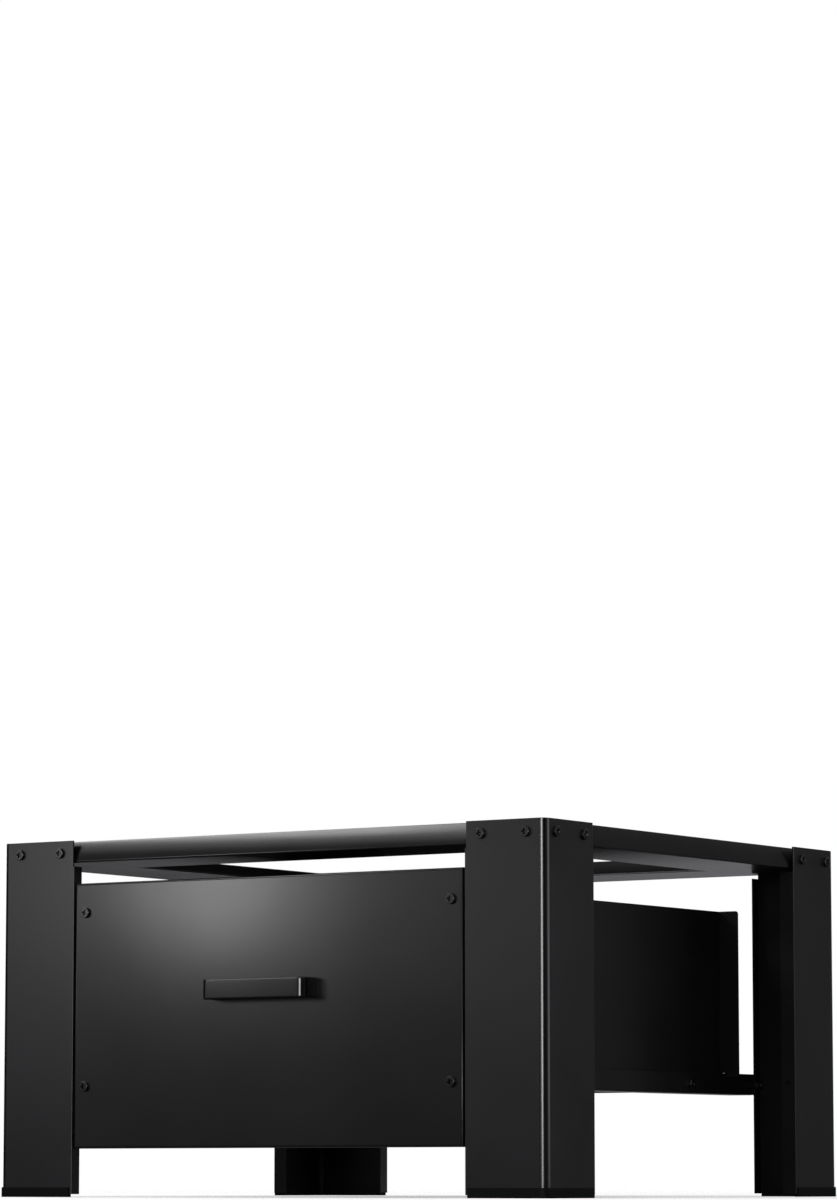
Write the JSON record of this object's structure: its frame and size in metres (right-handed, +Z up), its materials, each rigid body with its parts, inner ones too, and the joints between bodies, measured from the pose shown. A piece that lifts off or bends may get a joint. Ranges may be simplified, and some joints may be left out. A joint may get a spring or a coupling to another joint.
{
  "type": "washer pedestal drawer",
  "caption": "Low steel stand that raises a washing machine, with bent-sheet legs, a flanged top frame and a pull-out drawer with a bow handle.",
  "frame": {"origin": "centre of the bounding box, on the ground", "axes": "+Z up, -Y out of the drawer's front, +X to the right seen from the front"},
  "size_m": [0.6344, 0.5682, 0.345],
  "materials": {
    "black_coat": "semi-gloss black powder coat on steel sheet",
    "black_screw": "black pan-head screw",
    "cap_plastic": "matt black plastic",
    "glide_nylon": "black nylon, slightly waxy"
  },
  "bodies": {
    "stand": {"leg_front_left": "black_coat", "leg_front_right": "black_coat", "leg_rear_left": "black_coat", "leg_rear_right": "black_coat", "foot_cap_front_left": "cap_plastic", "foot_cap_front_right": "cap_plastic", "foot_cap_rear_left": "cap_plastic", "foot_cap_rear_right": "cap_plastic", "rail_front": "black_coat", "rail_rear": "black_coat", "rail_left": "black_coat", "rail_right": "black_coat", "front_rail_screw_front_left_outer": "black_screw", "front_rail_screw_front_left_inner": "black_screw", "side_rail_screw_front_left_outer": "black_screw", "side_rail_screw_front_left_inner": "black_screw", "front_rail_screw_front_right_outer": "black_screw", "front_rail_screw_front_right_inner": "black_screw", "side_rail_screw_front_right_outer": "black_screw", "side_rail_screw_front_right_inner": "black_screw", "rear_rail_screw_rear_left_outer": "black_screw", "rear_rail_screw_rear_left_inner": "black_screw", "side_rail_screw_rear_left_outer": "black_screw", "side_rail_screw_rear_left_inner": "black_screw", "rear_rail_screw_rear_right_outer": "black_screw", "rear_rail_screw_rear_right_inner": "black_screw", "side_rail_screw_rear_right_outer": "black_screw", "side_rail_screw_rear_right_inner": "black_screw", "runner_left": "black_coat", "runner_right": "black_coat", "runner_screw_front_left": "black_screw", "runner_screw_front_right": "black_screw", "runner_screw_rear_left": "black_screw", "runner_screw_rear_right": "black_screw", "glide_front_left": "glide_nylon", "glide_front_right": "glide_nylon", "glide_rear_left": "glide_nylon", "glide_rear_right": "glide_nylon", "glide_screw_front_left": "black_screw", "glide_screw_front_right": "black_screw", "glide_screw_rear_left": "black_screw", "glide_screw_rear_right": "black_screw"},
    "drawer": {"drawer_front": "black_coat", "drawer_handle": "black_coat", "handle_screw_left": "black_screw", "handle_screw_right": "black_screw", "drawer_front_screw_left_upper": "black_screw", "drawer_front_screw_left_lower": "black_screw", "drawer_front_screw_right_upper": "black_screw", "drawer_front_screw_right_lower": "black_screw", "drawer_side_left": "black_coat", "drawer_side_right": "black_coat", "drawer_floor": "black_coat", "drawer_back": "black_coat"}
  },
  "joints": [
    {"name": "drawer_slide", "type": "slide", "parent": "stand", "child": "drawer", "axis": [0, -1, 0], "range_m": [0, 0.322]}
  ]
}
